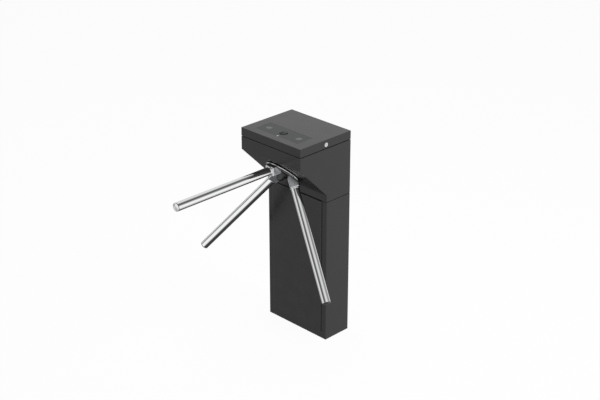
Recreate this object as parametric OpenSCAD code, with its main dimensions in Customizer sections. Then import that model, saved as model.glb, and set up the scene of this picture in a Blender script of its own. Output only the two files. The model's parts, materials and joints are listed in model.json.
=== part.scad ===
/* [Cabinet] */
// Width of the column, the head and the lid
body_w = 370; // [350:1:400]
// Depth of the column
column_d = 150; // [140:1:165]
// Depth of the head, from its back to its front
head_d = 315; // [305:1:330]
// Height from the floor to the top of the lid
total_h = 1000; // [980:1:1050]
// Height of the lid's skirt
lid_h = 39; // [36:1:45]
// Shadow gap between the lid and the head
lid_gap = 3; // [2.5:0.5:5]
// Height of the head's upright front, between the lid and the slope
head_front_h = 60.5; // [56:0.5:70]
// Height of the head's skirt, between the slope and the column
head_skirt_h = 33; // [28:1:45]
// Seam between the head and the column
seam_gap = 1.5; // [0.5:0.1:3]
// Thickness of the sheet steel
sheet_t = 2; // [1.5:0.1:2.5]
// Width of the lip folded in at the top of the head
head_lip = 12; // [9:0.5:14]
// Width of the lip folded in at the foot of the head
neck_lip = 20; // [18:0.5:24]
// Width of the lip folded in at the foot of the lid
lid_lip = 9; // [7:0.5:10]

/* [Service panel] */
// Column border left bare beside the panel
panel_border = 29; // [24:1:34]
// Column border left bare under the panel
panel_foot = 31; // [26:1:38]
// How far the panel overlaps the column's opening
panel_lap = 21; // [18:1:26]
// How far the panel stands proud of the column
panel_proud = 5; // [4:0.5:6]
// Gap above the panel, under the head
panel_head_gap = 2; // [1:0.5:4]
// Thickness of the rubber seal behind the panel's edge
seal_t = 3; // [2:0.5:4]
// How far that seal sits in from the panel's edge
seal_inset = 2; // [1:0.5:4]
// Depth of the panel's folded rim behind the column's front
panel_rim_d = 12; // [8:1:14]
// Diameter of the panel's welded studs
panel_stud_d = 5; // [4:1:6]
// Length of the panel's welded studs
panel_stud_l = 18; // [15:1:22]

/* [Frame] */
// Thickness of the base plate
base_t = 10; // [8:1:14]
// Distance of an anchor hole from the column's side
anchor_side = 35; // [30:1:45]
// Distance of an anchor hole from the column's front or back
anchor_end = 30; // [25:1:35]
// Diameter of an anchor hole
anchor_d = 14; // [12:1:16]
// Diameter of the cable entry in the base plate
cable_d = 60; // [50:1:70]
// Side of the square uprights
upright_w = 40; // [35:1:44]
// Wall of the uprights
upright_t = 3; // [2:0.5:4]
// Distance of each upright's centre from the middle
upright_x = 115; // [110:1:118]
// Distance of the uprights' centre behind the middle
upright_y = 30; // [26:1:34]
// Thickness of the plate that carries the head
neck_t = 8; // [6:1:10]
// Diameter of the cable hole in that plate
neck_hole_d = 80; // [70:1:90]
// Diameter of the bolts through the head's lip
neck_bolt_d = 6; // [5:1:8]

/* [Tripod] */
// How far the hub sits up the slope from its middle
hub_up = 4; // [0:0.5:8]
// Tilt of the arms away from the hub's axis
arm_tilt = 45; // [44:0.5:46]
// Depth of the point where the arms' axes meet, behind the slope
apex_depth = 42.8; // [40:0.1:44]
// Distance from that point to the end of an arm
arm_reach = 652; // [600:1:700]
// Diameter of an arm tube
arm_d = 38; // [36:0.5:40]
// Wall of an arm tube
arm_t = 1.5; // [1.2:0.1:2.5]
// Distance from the axes' meeting point to the inner end of a tube
arm_start = 95; // [92:1:100]
// Thickness of an arm's end cap
cap_t = 4; // [3:0.5:6]
// Diameter of the hub's thin base disc
disc_d = 174; // [160:1:180]
// Thickness of the base disc
disc_t = 5; // [4:0.5:6]
// Running gap between the base disc and the slope
disc_gap = 3; // [2:0.5:4]
// Height of the hub's nose above the slope
hub_h = 45; // [42:1:50]
// Diameter of the hub's body at its base
hub_d = 116; // [108:1:124]
// Diameter of the hub's nose
nose_d = 38; // [36:1:42]
// Thickness of a socket block, between its two flat sides
block_t = 50; // [48:0.5:54]
// Width of a socket block, in the plane of its arm and the hub's axis
block_w = 42; // [41:0.5:45]
// Distance from the axes' meeting point to a socket's mouth
socket_end = 118; // [114:1:122]
// Diameter of the lip round a socket's mouth
socket_lip_d = 44; // [42:0.5:46]
// Width of that lip
socket_lip_w = 6; // [5:0.5:8]

/* [Mechanism] */
// Diameter of the main shaft
shaft_d = 25; // [22:1:26]
// Outer diameter of a shaft bearing
bearing_d = 52; // [50:1:56]
// Width of a shaft bearing
bearing_w = 15; // [13:1:16]
// Diameter of the bearing housing's barrel
barrel_d = 68; // [64:1:72]
// Diameter of the bearing housing's flange
flange_d = 110; // [104:1:114]
// Thickness of the plate behind the slope
plate_t = 8; // [7:0.5:9]
// Thickness of the rear plate
rear_t = 6; // [5:0.5:7]
// Largest radius of the index cam
cam_r = 44; // [42:0.5:45]
// Depth of the index cam's three hollows
cam_dip = 6; // [4:0.5:8]
// Radius over the teeth of the locking wheel
wheel_r = 46; // [45:0.5:47]
// Depth of a tooth of the locking wheel
tooth_h = 6; // [5.5:0.5:7]
// Radius of the encoder disc
encoder_r = 42; // [40:0.5:44]
// Radius of the detent roller
roller_r = 9; // [8:0.5:9.5]
// Swing of a pawl from free to locked, in degrees
pawl_swing = 15; // [14.5:0.5:16]
// Diameter of a solenoid plunger
plunger_d = 10; // [8:0.5:12]

/* [Lid fittings] */
// Width of the indicator window
window_w = 260; // [240:1:274]
// Depth of the indicator window
window_d = 90; // [76:1:98]
// Distance of the window behind the lid's front edge
window_front = 39; // [30:1:45]
// Distance of each round light from the middle of the window
light_x = 93; // [80:1:104]
// Diameter of a round light
light_d = 30; // [24:1:34]
// Width of the arrow light
arrow_w = 46; // [36:1:56]
// Diameter of the lock's head
lock_head_d = 20; // [18:0.5:22]
// Distance of the lock's axis below the top of the lid
lock_drop = 22; // [21:0.5:23]
// Length of the lock's cam from its axis
lock_cam_l = 22; // [20:0.5:23]
// Outer diameter of the lid's hinge knuckles
knuckle_d = 7; // [6:0.5:8]
// Diameter of the hinge pin
hinge_pin_d = 4; // [3:0.5:4.5]

/* [Hidden] */
$fn = 96;

// Overrun of every cut past the face it opens
over = 1;
// Gap between pieces that move past each other
slack = 0.3;
// Radial clearance of a pin or shaft that turns in its hole
running = 0.05;

// Heights and depths of the cabinet
lid_z = total_h - lid_h;
head_top = lid_z - lid_gap;
slope_top = head_top - head_front_h;
slope_bottom = slope_top - (head_d - column_d);
head_bottom = slope_bottom - head_skirt_h;
column_top = head_bottom - seam_gap;
y_back = column_d / 2;
y_column = -column_d / 2;
y_head = y_back - head_d;
y_middle = (y_back + y_head) / 2;
inner_w = body_w - 2 * sheet_t;
inner_d = column_d - 2 * sheet_t;
// Shift of an inner corner where the slope meets an upright wall
corner_shift = sheet_t * (sqrt(2) - 1);
slope_tilt = 45;
anchor_x = body_w - 2 * anchor_side;
anchor_y = column_d - 2 * anchor_end;
neck_bolt_x = inner_w / 2 - neck_lip / 2;
neck_bolt_y = inner_d / 2 - neck_lip / 2;

// Column opening and service panel
panel_w = body_w - 2 * panel_border;
panel_top = head_bottom - panel_head_gap;
opening_w = panel_w - 2 * panel_lap;
opening_z = panel_foot + panel_lap / 2;
stud_x = opening_w / 2 + panel_lap / 2;
stud_rows = 3;
stud_inset = 40;
seal_w = 2 * (panel_lap / 2 - seal_inset);
rim_gap = 3;
panel_face = y_column - panel_proud;
panel_rim_y = y_column + panel_rim_d;
stud_step = (panel_top - panel_foot - 2 * stud_inset) / (stud_rows - 1);

// Nuts and heads follow the diameter of their thread
nut_share = 1.6;
nut_h_share = 0.8;
head_d_share = 1.7;
head_h_share = 0.65;

// Hub centre on the slope, and the hub's own heights above the slope
hub_y = (y_head + y_column) / 2 - hub_up * sin(slope_tilt);
hub_z = (slope_top + slope_bottom) / 2 + hub_up * cos(slope_tilt);
disc_top = disc_gap + disc_t;
disc_bevel = 1.5;
hub_skirt = 3;
hub_bevel = [14, 3];
nose_foot = [7, 3];
nose_flare = [2, 5];
nose_bevel = 4;
nose_dome = 1;
block_root = 34;
block_edge = 3;
screw_back = 13;
screw_at = socket_end - screw_back;
boss_d = 40;
boss_hole_d = 54;
boss_short = 1;
arm_angles = [90, 210, 330];
cap_plug_l = 12;
cap_bevel = 1.2;
arm_screw_d = 6;
screw_sunk = 1;

// Depths behind the slope's outer face, from the plate to the rear plate
plate_back = sheet_t + plate_t;
ring_gap = 3;
front_bearing = plate_back + ring_gap;
inner_ring_t = 3;
housing_flange_t = 8;
bearings_apart = 24;
rear_bearing = front_bearing + bearing_w + bearings_apart;
barrel_tail = 2;
barrel_end = rear_bearing + bearing_w + barrel_tail;
housing_lip = 4;
cam_face = rear_bearing + bearing_w + ring_gap;
cam_t = 12;
wheel_apart = 4;
wheel_face = cam_face + cam_t + wheel_apart;
wheel_t = 8;
encoder_apart = 7;
encoder_face = wheel_face + wheel_t + encoder_apart;
encoder_t = 1.5;
encoder_rim = 0.5;
encoder_end = encoder_face + encoder_t + encoder_rim;
shaft_nut_h = 8;
shaft_nut_w = 34;
shaft_tail = 2;
shaft_end = encoder_end + shaft_nut_h + shaft_tail;
rear_gap = 1;
rear_face = encoder_end + shaft_nut_h + rear_gap;
wheel_boss_r = 18;
shaft_in_hub = 30;

// Notches of the locking wheel and slots of the encoder disc
tooth_n = 12;
notch_foot = 8;
notch_mouth = 18;
slot_n = 24;
slot_size = [5, 2.4];

// Plates and pillars of the mechanism, in the plane of the slope
plate_half = [118, 70];
rear_side_gap = 15;
rear_half = [inner_w / 2 - rear_side_gap, 66];
rear_hole_r = 22;
plate_stud = [108, 60];
plate_stud_d = 8;
pillar_upper = [92, 28];
pillar_lower = [92, -50];
pillar_d = 14;
pillar_screw_d = 6;
housing_bolt_d = 8;
housing_bolt_r = 46;
housing_bolt_n = 4;

// Detent lever: pivot, roller and thickness
lever_pivot = [-66, -46];
roller_clear = 0.5;
roller_at = [-(cam_r + roller_r + roller_clear), 0];
lever_t = 6;
lever_hub_r = 10;
lever_tip_r = 7;
lever_pin_r = 6;
lever_gap = 1;
roller_pin_r = 3;
roller_t = 11;
lever_face = cam_face - lever_gap / 2 - lever_t;

// Pawls: pivot of the right-hand one, its nose and its tail
pawl_pivot = [72, 17];
pawl_pin_r = 5;
pawl_hub_r = 9;
pawl_nose_w = 6;
pawl_bite = 4;
pawl_tip = wheel_r - pawl_bite;
pawl_relief = 1;
pawl_tail_l = 33;
pawl_arm_w = 10;
pawl_tail_r = 7;
link_pin_r = 3;
link_slot = 3;
post_shoulder = 3;
post_cap_t = 2;
post_cap_rim = 2;
link_y = pawl_pivot[1] + pawl_tail_l * cos(pawl_swing / 2);
link_x = pawl_pivot[0] - pawl_tail_l * sin(pawl_swing / 2);
link_travel = 2 * pawl_tail_l * sin(pawl_swing / 2);
fork_t = 3;
fork_l = 18;
fork_web = 6;
fork_half = 6;
solenoid_x = 100;
solenoid_side_gap = 22;
solenoid_size = [inner_w / 2 - solenoid_side_gap - solenoid_x, 30];
solenoid_depth = 34;
plunger_in = 16;
plunger_end = solenoid_x + plunger_in;
plunger_axis = wheel_face + wheel_t / 2;

// Sleeves that stand for the coiled springs on the posts
spring_wall = 2;
spring_share = 0.45;
spring_gap = 1;

// Rotation sensor that straddles the encoder disc
sensor_w = 20;
sensor_gap = 2;
sensor_jaw = 3.5;
sensor_reach = 8;
sensor_back = 14;

// Boards and supplies
board_size = [200, 150];
board_t = 1.6;
board_inset = 14;
board_above_neck = 60;
board_pillar_d = 6;
board_edge = 8;
board_z = head_bottom + board_above_neck;
board_y = y_back - sheet_t - board_inset;
// Connector strip, two relays, processor and coil on the board: left edge, foot, width, height and
// depth, each a share of the board's size
block_shares = [[-0.44, 0.04, 0.88, 0.09, 0.06], [-0.42, 0.72, 0.16, 0.2, 0.08],
    [-0.2, 0.72, 0.16, 0.2, 0.08], [0.02, 0.3, 0.3, 0.3, 0.02], [-0.38, 0.34, 0.22, 0.22, 0.1]];
equip_w = 250;
supply_size = [98, 40, 160];
battery_size = [151, 65, 94];
equip_below_head = 140;
equip_top = head_bottom - equip_below_head;
equip_y = upright_y - upright_w / 2;
shelf_gap = 49;
shelf_w = 160;
shelf_d = 70;
equip_spare = equip_top - supply_size[2] - shelf_gap - battery_size[2];
equip_foot_share = 0.55;
supply_foot_share = 0.195;
equip_z = equip_foot_share * equip_spare;
supply_z = equip_z + supply_foot_share * equip_spare;
shelf_z = supply_z + supply_size[2] + shelf_gap;
harness_d = 8;
harness_sides = 8;
// Route of the harness: points above the top of the power supply, then points about the head's foot
harness_low = [[40, -12, 0], [40, -12, 10], [52, -8, 22], [76, 0, 30], [86, 3, 42], [88, 3, 60]];
harness_high = [[88, 3, -80], [82, 3, -58], [50, 5, -32], [26, 8, -16], [20, 10, 0], [20, 18, 22],
    [20, 36, 42], [20, 47, 52], [20, 52, 60], [20, 52, 66]];
harness_route = concat([for (p = harness_low) p + [0, 0, supply_z + supply_size[2]]],
    [for (p = harness_high) p + [0, 0, head_bottom]]);
// Sideways direction that no stretch of the route follows
harness_side = [1, 0.4, 0.2];

// Lid fittings
window_y = y_head + window_front + window_d / 2;
window_fit = 0.3;
window_drop = 0.3;
window_z = total_h - sheet_t;
window_t = sheet_t - window_drop;
carrier_rim = 12;
carrier_h = 14;
carrier_lap = 8;
led_board_t = 1.6;
led_board_gap = 9;
pip_d = 7;
pip_y = 6.5;
arrow_d = 30;
arrow_neck = 12;
lock_x = body_w / 2;
lock_z = total_h - lock_drop;
lock_head_t = 1.8;
lock_body_d = 16;
lock_body_l = 17;
lock_nut_h = 4.5;
lock_nut_w = 20;
plug_d = 10;
key_slot = [1.2, 6, 4];
lock_cam_w = 10;
lock_cam_t = 2;
plug_inner = lock_x - lock_body_l;
keeper_t = 2.5;
keeper_w = 12;
keeper_away = 10;
keeper_clear = 3;
keeper_back = plug_inner - lock_cam_t - keeper_clear - keeper_t;

// Lid hinge on the left-hand side
hinge_x = -(body_w / 2 + knuckle_d / 2);
hinge_z = head_top + lid_gap / 2;
hinge_len = 260;
leaf_t = 1.5;
leaf_h = 24;
knuckle_n = 5;
knuckle_l = hinge_len / knuckle_n;
gasket_inset = 6;
gasket_w = 5;

// Frame of the slope: Z leaves the slope along the hub's axis, Y runs up the slope
module at_hub() {
    translate([0, hub_y, hub_z]) rotate([90 + slope_tilt, 0, 0]) children();
}

// Z runs outwards along one arm, from the point where the axes meet
module from_apex(angle) {
    rotate([0, 0, angle]) translate([0, 0, -apex_depth]) rotate([0, arm_tilt, 0]) children();
}

module along_arm(angle) {
    at_hub() from_apex(angle) children();
}

// A round bar between two depths behind the slope
module at_depth(near, far, r, at = [0, 0]) {
    translate([at[0], at[1], -far]) cylinder(h = far - near, r = r);
}

module ring_at_depth(near, far, r, hole, at = [0, 0]) {
    difference() {
        at_depth(near, far, r, at);
        at_depth(near - over, far + over, hole, at);
    }
}

module hex_at_depth(near, far, flats, at = [0, 0]) {
    translate([at[0], at[1], -far]) cylinder(h = far - near, r = flats / 2 / cos(30), $fn = 6);
}

// A box between two depths behind the slope
module box_at_depth(near, far, low, high) {
    translate([low[0], low[1], -far]) cube([high[0] - low[0], high[1] - low[1], far - near]);
}

module box(low, high) {
    translate(low) cube(high - low);
}

// A flat rectangular ring with its outer sides on the named size
module frame_ring(outer, inner, z, h) {
    difference() {
        box([-outer[0] / 2, outer[1][0], z], [outer[0] / 2, outer[1][1], z + h]);
        box([-inner[0] / 2, inner[1][0], z - over], [inner[0] / 2, inner[1][1], z + h + over]);
    }
}

module four_corners(x, y) {
    for (sx = [-1, 1]) for (sy = [-1, 1]) translate([sx * x, sy * y, 0]) children();
}

module base_plate() {
    color("#5a5c5e") difference() {
        box([-inner_w / 2, -inner_d / 2, 0], [inner_w / 2, inner_d / 2, base_t]);
        four_corners(anchor_x / 2, anchor_y / 2)
            translate([0, 0, -over]) cylinder(h = base_t + 2 * over, d = anchor_d);
        translate([0, 0, -over]) cylinder(h = base_t + 2 * over, d = cable_d);
    }
}

module frame_uprights() {
    bore = upright_w - 2 * upright_t;
    length = head_bottom - neck_t - base_t;
    color("#6a6c6e") for (side = [-1, 1])
        translate([side * upright_x, upright_y, base_t + length / 2]) difference() {
            cube([upright_w, upright_w, length], center = true);
            cube([bore, bore, length + 2 * over], center = true);
        }
}

module neck_plate() {
    color("#6a6c6e") difference() {
        box([-inner_w / 2, -inner_d / 2, head_bottom - neck_t], [inner_w / 2, inner_d / 2, head_bottom]);
        translate([0, 0, head_bottom - neck_t - over]) cylinder(h = neck_t + 2 * over, d = neck_hole_d);
        four_corners(neck_bolt_x, neck_bolt_y)
            translate([0, 0, head_bottom - neck_t - over]) cylinder(h = neck_t + 2 * over, d = neck_bolt_d);
    }
}

module column_shell() {
    color("#3c3d3f") difference() {
        box([-body_w / 2, y_column, 0], [body_w / 2, y_back, column_top]);
        box([-inner_w / 2, -inner_d / 2, -over], [inner_w / 2, inner_d / 2, column_top + over]);
        box([-opening_w / 2, y_column - over, opening_z], [opening_w / 2, 0, column_top + over]);
        stud_places() rotate([90, 0, 0]) cylinder(h = 4 * sheet_t, d = panel_stud_d, center = true);
    }
}

// One place on the column's front face for each of the panel's studs
module stud_places() {
    for (side = [-1, 1]) for (row = [0 : stud_rows - 1])
        translate([side * stud_x, y_column, panel_foot + stud_inset + row * stud_step]) children();
}

// A flat sheet with a folded rim that reaches into the column's opening
module service_panel() {
    rim_x = opening_w / 2 - rim_gap;
    rim_low = panel_foot + seal_inset + seal_w + rim_gap;
    rim_high = panel_top - seal_inset - seal_w - rim_gap;
    color("#3a3b3d") union() {
        box([-panel_w / 2, panel_face, panel_foot], [panel_w / 2, panel_face + sheet_t, panel_top]);
        difference() {
            box([-rim_x, panel_face, rim_low], [rim_x, panel_rim_y, rim_high]);
            box([sheet_t - rim_x, panel_face + sheet_t, rim_low + sheet_t],
                [rim_x - sheet_t, panel_rim_y + over, rim_high - sheet_t]);
        }
    }
}

module panel_seal() {
    out = [panel_w / 2 - seal_inset, panel_foot + seal_inset, panel_top - seal_inset];
    back = panel_face + sheet_t + seal_t;
    color("#141414") difference() {
        box([-out[0], panel_face + sheet_t, out[1]], [out[0], back, out[2]]);
        box([seal_w - out[0], panel_face + sheet_t - over, out[1] + seal_w],
            [out[0] - seal_w, back + over, out[2] - seal_w]);
        stud_places() rotate([90, 0, 0]) cylinder(h = 4 * panel_proud, d = panel_stud_d, center = true);
    }
}

module panel_fasteners() {
    nut_w = panel_stud_d * nut_share;
    nut_h = panel_stud_d * nut_h_share;
    color("#9a9c9e") stud_places() {
        translate([0, panel_stud_l - panel_proud + sheet_t, 0]) rotate([90, 0, 0])
            cylinder(h = panel_stud_l, d = panel_stud_d);
        translate([0, sheet_t + nut_h, 0]) rotate([90, 0, 0]) difference() {
            cylinder(h = nut_h, r = nut_w / 2 / cos(30), $fn = 6);
            translate([0, 0, -over]) cylinder(h = nut_h + 2 * over, d = panel_stud_d);
        }
    }
}

module head_outline() {
    polygon([[y_back, head_bottom], [y_back, head_top], [y_head, head_top], [y_head, slope_top],
        [y_column, slope_bottom], [y_column, head_bottom]]);
}

module head_hollow() {
    polygon([[y_back - sheet_t, head_bottom - over], [y_back - sheet_t, head_top + over],
        [y_head + sheet_t, head_top + over], [y_head + sheet_t, slope_top + corner_shift],
        [y_column + sheet_t, slope_bottom + corner_shift], [y_column + sheet_t, head_bottom - over]]);
}

module across(w) {
    rotate([90, 0, 90]) linear_extrude(height = w, center = true) children();
}

module head_shell() {
    lip_w = inner_w - 2 * head_lip;
    foot_w = inner_w - 2 * neck_lip;
    color("#3e3f41") difference() {
        union() {
            difference() {
                across(body_w) head_outline();
                across(inner_w) head_hollow();
            }
            frame_ring([inner_w, [y_head + sheet_t, y_back - sheet_t]],
                [lip_w, [y_head + sheet_t + head_lip, y_back - sheet_t - head_lip]],
                head_top - sheet_t, sheet_t);
            frame_ring([inner_w, [-inner_d / 2, inner_d / 2]],
                [foot_w, [neck_lip - inner_d / 2, inner_d / 2 - neck_lip]], head_bottom, sheet_t);
        }
        at_hub() at_depth(-over, 2 * sheet_t, boss_hole_d / 2);
        four_corners(neck_bolt_x, neck_bolt_y)
            translate([0, 0, head_bottom - over]) cylinder(h = sheet_t + 2 * over, d = neck_bolt_d);
    }
}

module neck_fasteners() {
    grip = neck_t + sheet_t;
    nut_h = neck_bolt_d * nut_h_share;
    head_h = neck_bolt_d * head_h_share;
    nut_r = neck_bolt_d * nut_share / 2 / cos(30);
    color("#9a9c9e") four_corners(neck_bolt_x, neck_bolt_y) translate([0, 0, head_bottom + sheet_t]) {
        union() {
            cylinder(h = head_h, d = neck_bolt_d * head_d_share, $fn = 6);
            translate([0, 0, -grip - nut_h - sheet_t]) cylinder(h = grip + nut_h + sheet_t, d = neck_bolt_d);
        }
        translate([0, 0, -grip - nut_h]) difference() {
            cylinder(h = nut_h, r = nut_r, $fn = 6);
            translate([0, 0, -over]) cylinder(h = nut_h + 2 * over, d = neck_bolt_d);
        }
    }
}

module lid_gasket() {
    out = gasket_inset;
    in = gasket_inset + gasket_w;
    color("#121212") frame_ring([body_w - 2 * out, [y_head + out, y_back - out]],
        [body_w - 2 * in, [y_head + in, y_back - in]], head_top, lid_gap - slack);
}

module mechanism_plate() {
    color("#8c8e90") at_hub() difference() {
        box_at_depth(sheet_t, plate_back, -plate_half, plate_half);
        at_depth(0, plate_back + over, boss_hole_d / 2);
        four_corners(plate_stud[0], plate_stud[1]) at_depth(0, plate_back + over, plate_stud_d / 2);
        housing_bolt_places() at_depth(0, plate_back + over, housing_bolt_d / 2);
    }
}

module housing_bolt_places() {
    for (i = [0 : housing_bolt_n - 1]) rotate([0, 0, (i + 0.5) * 360 / housing_bolt_n])
        translate([housing_bolt_r, 0, 0]) children();
}

module plate_fasteners() {
    nut_h = plate_stud_d * nut_h_share;
    color("#9a9c9e") at_hub() four_corners(plate_stud[0], plate_stud[1]) {
        at_depth(sheet_t, plate_back + nut_h + sheet_t, plate_stud_d / 2);
        difference() {
            hex_at_depth(plate_back, plate_back + nut_h, plate_stud_d * nut_share);
            at_depth(plate_back - over, plate_back + nut_h + over, plate_stud_d / 2);
        }
    }
}

module bearing_housing() {
    color("#7d7f82") at_hub() difference() {
        union() {
            at_depth(plate_back, plate_back + housing_flange_t, flange_d / 2);
            at_depth(plate_back, barrel_end, barrel_d / 2);
        }
        at_depth(plate_back - over, front_bearing + bearing_w, bearing_d / 2);
        at_depth(plate_back, barrel_end, bearing_d / 2 - housing_lip);
        at_depth(rear_bearing, barrel_end + over, bearing_d / 2);
        housing_bolt_places()
            at_depth(plate_back - over, plate_back + housing_flange_t + over, housing_bolt_d / 2);
    }
}

module mechanism_bolts() {
    shank = plate_t + housing_flange_t;
    head_h = housing_bolt_d * head_h_share;
    screw_h = pillar_screw_d * head_h_share;
    color("#9a9c9e") at_hub() {
        housing_bolt_places() union() {
            at_depth(sheet_t, sheet_t + shank, housing_bolt_d / 2);
            hex_at_depth(sheet_t + shank, sheet_t + shank + head_h, housing_bolt_d * nut_share);
        }
        pillar_places() union() {
            at_depth(rear_face - 2 * rear_t, rear_face + rear_t, pillar_screw_d / 2);
            hex_at_depth(rear_face + rear_t, rear_face + rear_t + screw_h, pillar_screw_d * nut_share);
        }
    }
}

module bearing_outer_rings() {
    seal_r = shaft_d / 2 + inner_ring_t + slack;
    color("#b4b6b8") at_hub() for (near = [front_bearing, rear_bearing])
        ring_at_depth(near, near + bearing_w, bearing_d / 2, seal_r);
}

module pillar_places() {
    for (side = [-1, 1]) for (at = [pillar_upper, pillar_lower])
        translate([side * at[0], at[1], 0]) children();
}

module spacer_pillars() {
    color("#a4a6a8") at_hub() pillar_places() difference() {
        at_depth(plate_back, rear_face, pillar_d / 2);
        at_depth(rear_face - 2 * rear_t, rear_face + over, pillar_screw_d / 2);
    }
}

module rear_plate() {
    color("#8c8e90") at_hub() difference() {
        box_at_depth(rear_face, rear_face + rear_t, -rear_half, rear_half);
        at_depth(rear_face - over, rear_face + rear_t + over, rear_hole_r);
        pillar_places() at_depth(rear_face - over, rear_face + rear_t + over, pillar_screw_d / 2);
    }
}

// A post with a shoulder up to the moving piece, a pin through it and a cap behind it
module pivot_post(at, pin_r, shoulder_r, face, thick) {
    at_depth(plate_back, face - slack, shoulder_r, at);
    at_depth(plate_back, face + thick + slack + post_cap_t, pin_r, at);
    at_depth(face + thick + slack, face + thick + slack + post_cap_t, pin_r + post_cap_rim, at);
}

module pivot_posts() {
    color("#b4b6b8") at_hub() {
        union() pivot_post(lever_pivot, lever_pin_r, lever_pin_r + post_shoulder, lever_face, lever_t);
        for (side = [-1, 1]) union() pivot_post([side * pawl_pivot[0], pawl_pivot[1]], pawl_pin_r,
            pawl_pin_r + post_shoulder, wheel_face, wheel_t);
    }
}

module return_springs() {
    lever_post_r = lever_pin_r + post_shoulder;
    pawl_post_r = pawl_pin_r + post_shoulder;
    color("#c0c2c4") at_hub() {
        ring_at_depth(lever_face * spring_share, lever_face - spring_gap,
            lever_post_r + spring_wall, lever_post_r, lever_pivot);
        for (side = [-1, 1]) ring_at_depth(wheel_face * (1 - spring_share), wheel_face - spring_gap,
            pawl_post_r + spring_wall, pawl_post_r, [side * pawl_pivot[0], pawl_pivot[1]]);
    }
}

// The right-hand solenoid; the left-hand one is its mirror image
module solenoid() {
    low = [solenoid_x, link_y - solenoid_size[1] / 2];
    bore_l = plunger_end + link_travel + 2 * over - solenoid_x;
    difference() {
        box_at_depth(rear_face - solenoid_depth, rear_face, low, low + solenoid_size);
        translate([solenoid_x - over, link_y, -plunger_axis]) rotate([0, 90, 0])
            cylinder(h = bore_l + over, r = plunger_d / 2 + slack);
    }
}

module entry_solenoid() {
    color("#2b4a36") at_hub() solenoid();
}

module exit_solenoid() {
    color("#2b4a36") at_hub() mirror([1, 0, 0]) solenoid();
}

module rotation_sensor() {
    top = -(encoder_r - sensor_reach);
    foot = -(encoder_r + sensor_back);
    color("#1e1e20") at_hub() difference() {
        box_at_depth(encoder_face - sensor_gap - sensor_jaw, rear_face,
            [-sensor_w / 2, foot], [sensor_w / 2, top]);
        box_at_depth(encoder_face - sensor_gap, encoder_face + encoder_t + sensor_gap,
            [-sensor_w, -(encoder_r + sensor_gap)], [sensor_w, 0]);
    }
}

module control_board() {
    color("#1f5a3a") union() {
        translate([-board_size[0] / 2, board_y, board_z]) cube([board_size[0], board_t, board_size[1]]);
        for (share = block_shares) {
            low = [share[0] * board_size[0], board_z + share[1] * board_size[1]];
            size = [share[2] * board_size[0], share[3] * board_size[1]];
            depth = share[4] * board_size[0];
            translate([low[0], board_y - depth, low[1]]) cube([size[0], depth, size[1]]);
        }
    }
}

module board_pillars() {
    color("#c8c8c4") for (side = [-1, 1]) for (z = [board_edge, board_size[1] - board_edge])
        translate([side * (board_size[0] / 2 - board_edge), y_back - sheet_t, board_z + z])
            rotate([90, 0, 0]) cylinder(h = board_inset - board_t, d = board_pillar_d);
}

module equipment_plate() {
    color("#a6a8aa") union() {
        box([-equip_w / 2, equip_y - sheet_t, equip_z], [equip_w / 2, equip_y, equip_top]);
        box([-shelf_w / 2, equip_y - shelf_d, shelf_z - sheet_t], [shelf_w / 2, equip_y, shelf_z]);
    }
}

module power_supply() {
    color("#b8babc") box([-supply_size[0] / 2, equip_y - sheet_t - supply_size[1], supply_z],
        [supply_size[0] / 2, equip_y - sheet_t, supply_z + supply_size[2]]);
}

module battery() {
    color("#1d1f22") box([-battery_size[0] / 2, equip_y - sheet_t - battery_size[1], shelf_z],
        [battery_size[0] / 2, equip_y - sheet_t, shelf_z + battery_size[2]]);
}

function unit(v) = v / norm(v);

// Directions of a route at each of its points
function headings(route) = [for (i = [0 : len(route) - 1])
    unit(route[min(i + 1, len(route) - 1)] - route[max(i - 1, 0)])];

// A tube along a route, one ring of points at each of the route's points
module swept_tube(route, d, sides) {
    along = headings(route);
    rings = [for (i = [0 : len(route) - 1])
        let (u = unit(cross(along[i], harness_side)), v = cross(along[i], u))
        [for (k = [0 : sides - 1]) let (angle = k * 360 / sides)
            route[i] + d / 2 * (cos(angle) * u + sin(angle) * v)]];
    points = [for (ring = rings) each ring];
    last = len(points) - sides;
    walls = [for (i = [0 : len(route) - 2]) for (k = [0 : sides - 1])
        let (a = i * sides + k, b = i * sides + (k + 1) % sides)
            each [[a, b, b + sides], [a, b + sides, a + sides]]];
    near_end = [for (k = [1 : sides - 2]) [0, k + 1, k]];
    far_end = [for (k = [1 : sides - 2]) [last, last + k, last + k + 1]];
    polyhedron(points = points, faces = concat(walls, near_end, far_end));
}

module cable_harness() {
    color("#161616") swept_tube(harness_route, harness_d, harness_sides);
}

module lid_shell() {
    lip = sheet_t + lid_lip;
    window_low = [-window_w / 2, window_y - window_d / 2];
    color("#434446") difference() {
        union() {
            difference() {
                box([-body_w / 2, y_head, lid_z], [body_w / 2, y_back, total_h]);
                box([-inner_w / 2, y_head + sheet_t, lid_z - over],
                    [inner_w / 2, y_back - sheet_t, total_h - sheet_t]);
            }
            frame_ring([body_w, [y_head, y_back]], [body_w - 2 * lip, [y_head + lip, y_back - lip]],
                lid_z, sheet_t);
        }
        translate([window_low[0], window_low[1], total_h - 2 * sheet_t])
            cube([window_w, window_d, 2 * sheet_t + over]);
        translate([inner_w / 2 - over, y_middle, lock_z]) rotate([0, 90, 0])
            cylinder(h = sheet_t + 2 * over, d = lock_body_d);
    }
}

// A fat arrow that points to the front, grown on all sides by the fit
module arrow_shape(fit) {
    w = arrow_w / 2 + fit;
    d = arrow_d / 2 + fit;
    n = arrow_neck / 2 + fit;
    polygon([[0, -d], [w, 0], [n, 0], [n, d], [-n, d], [-n, 0], [-w, 0]]);
}

module light_cuts(fit, h) {
    for (side = [-1, 1]) translate([side * light_x, window_y, 0]) cylinder(h = h, d = light_d + 2 * fit);
    translate([0, window_y, 0]) linear_extrude(height = h) arrow_shape(fit);
    translate([0, window_y - window_d / 2 + pip_y, 0]) cylinder(h = h, d = pip_d + 2 * fit);
}

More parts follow.
